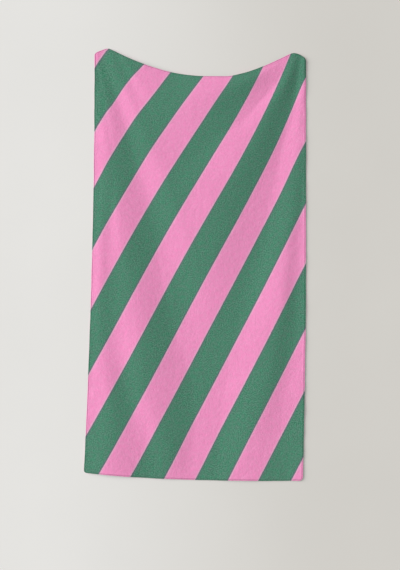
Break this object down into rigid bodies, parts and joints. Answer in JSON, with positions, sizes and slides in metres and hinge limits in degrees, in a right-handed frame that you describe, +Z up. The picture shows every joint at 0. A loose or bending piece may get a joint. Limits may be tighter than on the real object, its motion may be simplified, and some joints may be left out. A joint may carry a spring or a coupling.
{
  "type": "beach towel",
  "caption": "Rectangular cotton beach towel laid out flat, with wide diagonal stripes in pink and green, a narrow turned hem, a sagging upper edge and soft fanned folds.",
  "frame": {"origin": "on the surface the towel lies on, under the middle of its bounding box", "axes": "+X across the towel, +Y along its length towards the edge that sags between its corners, +Z up out of the surface"},
  "size_m": [0.8135, 1.5773, 0.0226],
  "materials": {
    "towelling": "matt cotton towelling with a short sheared pile: pink with as many equally wide diagonal stripes in speckled mid green"
  },
  "bodies": {
    "root": {"towel": "towelling"}
  },
  "joints": []
}
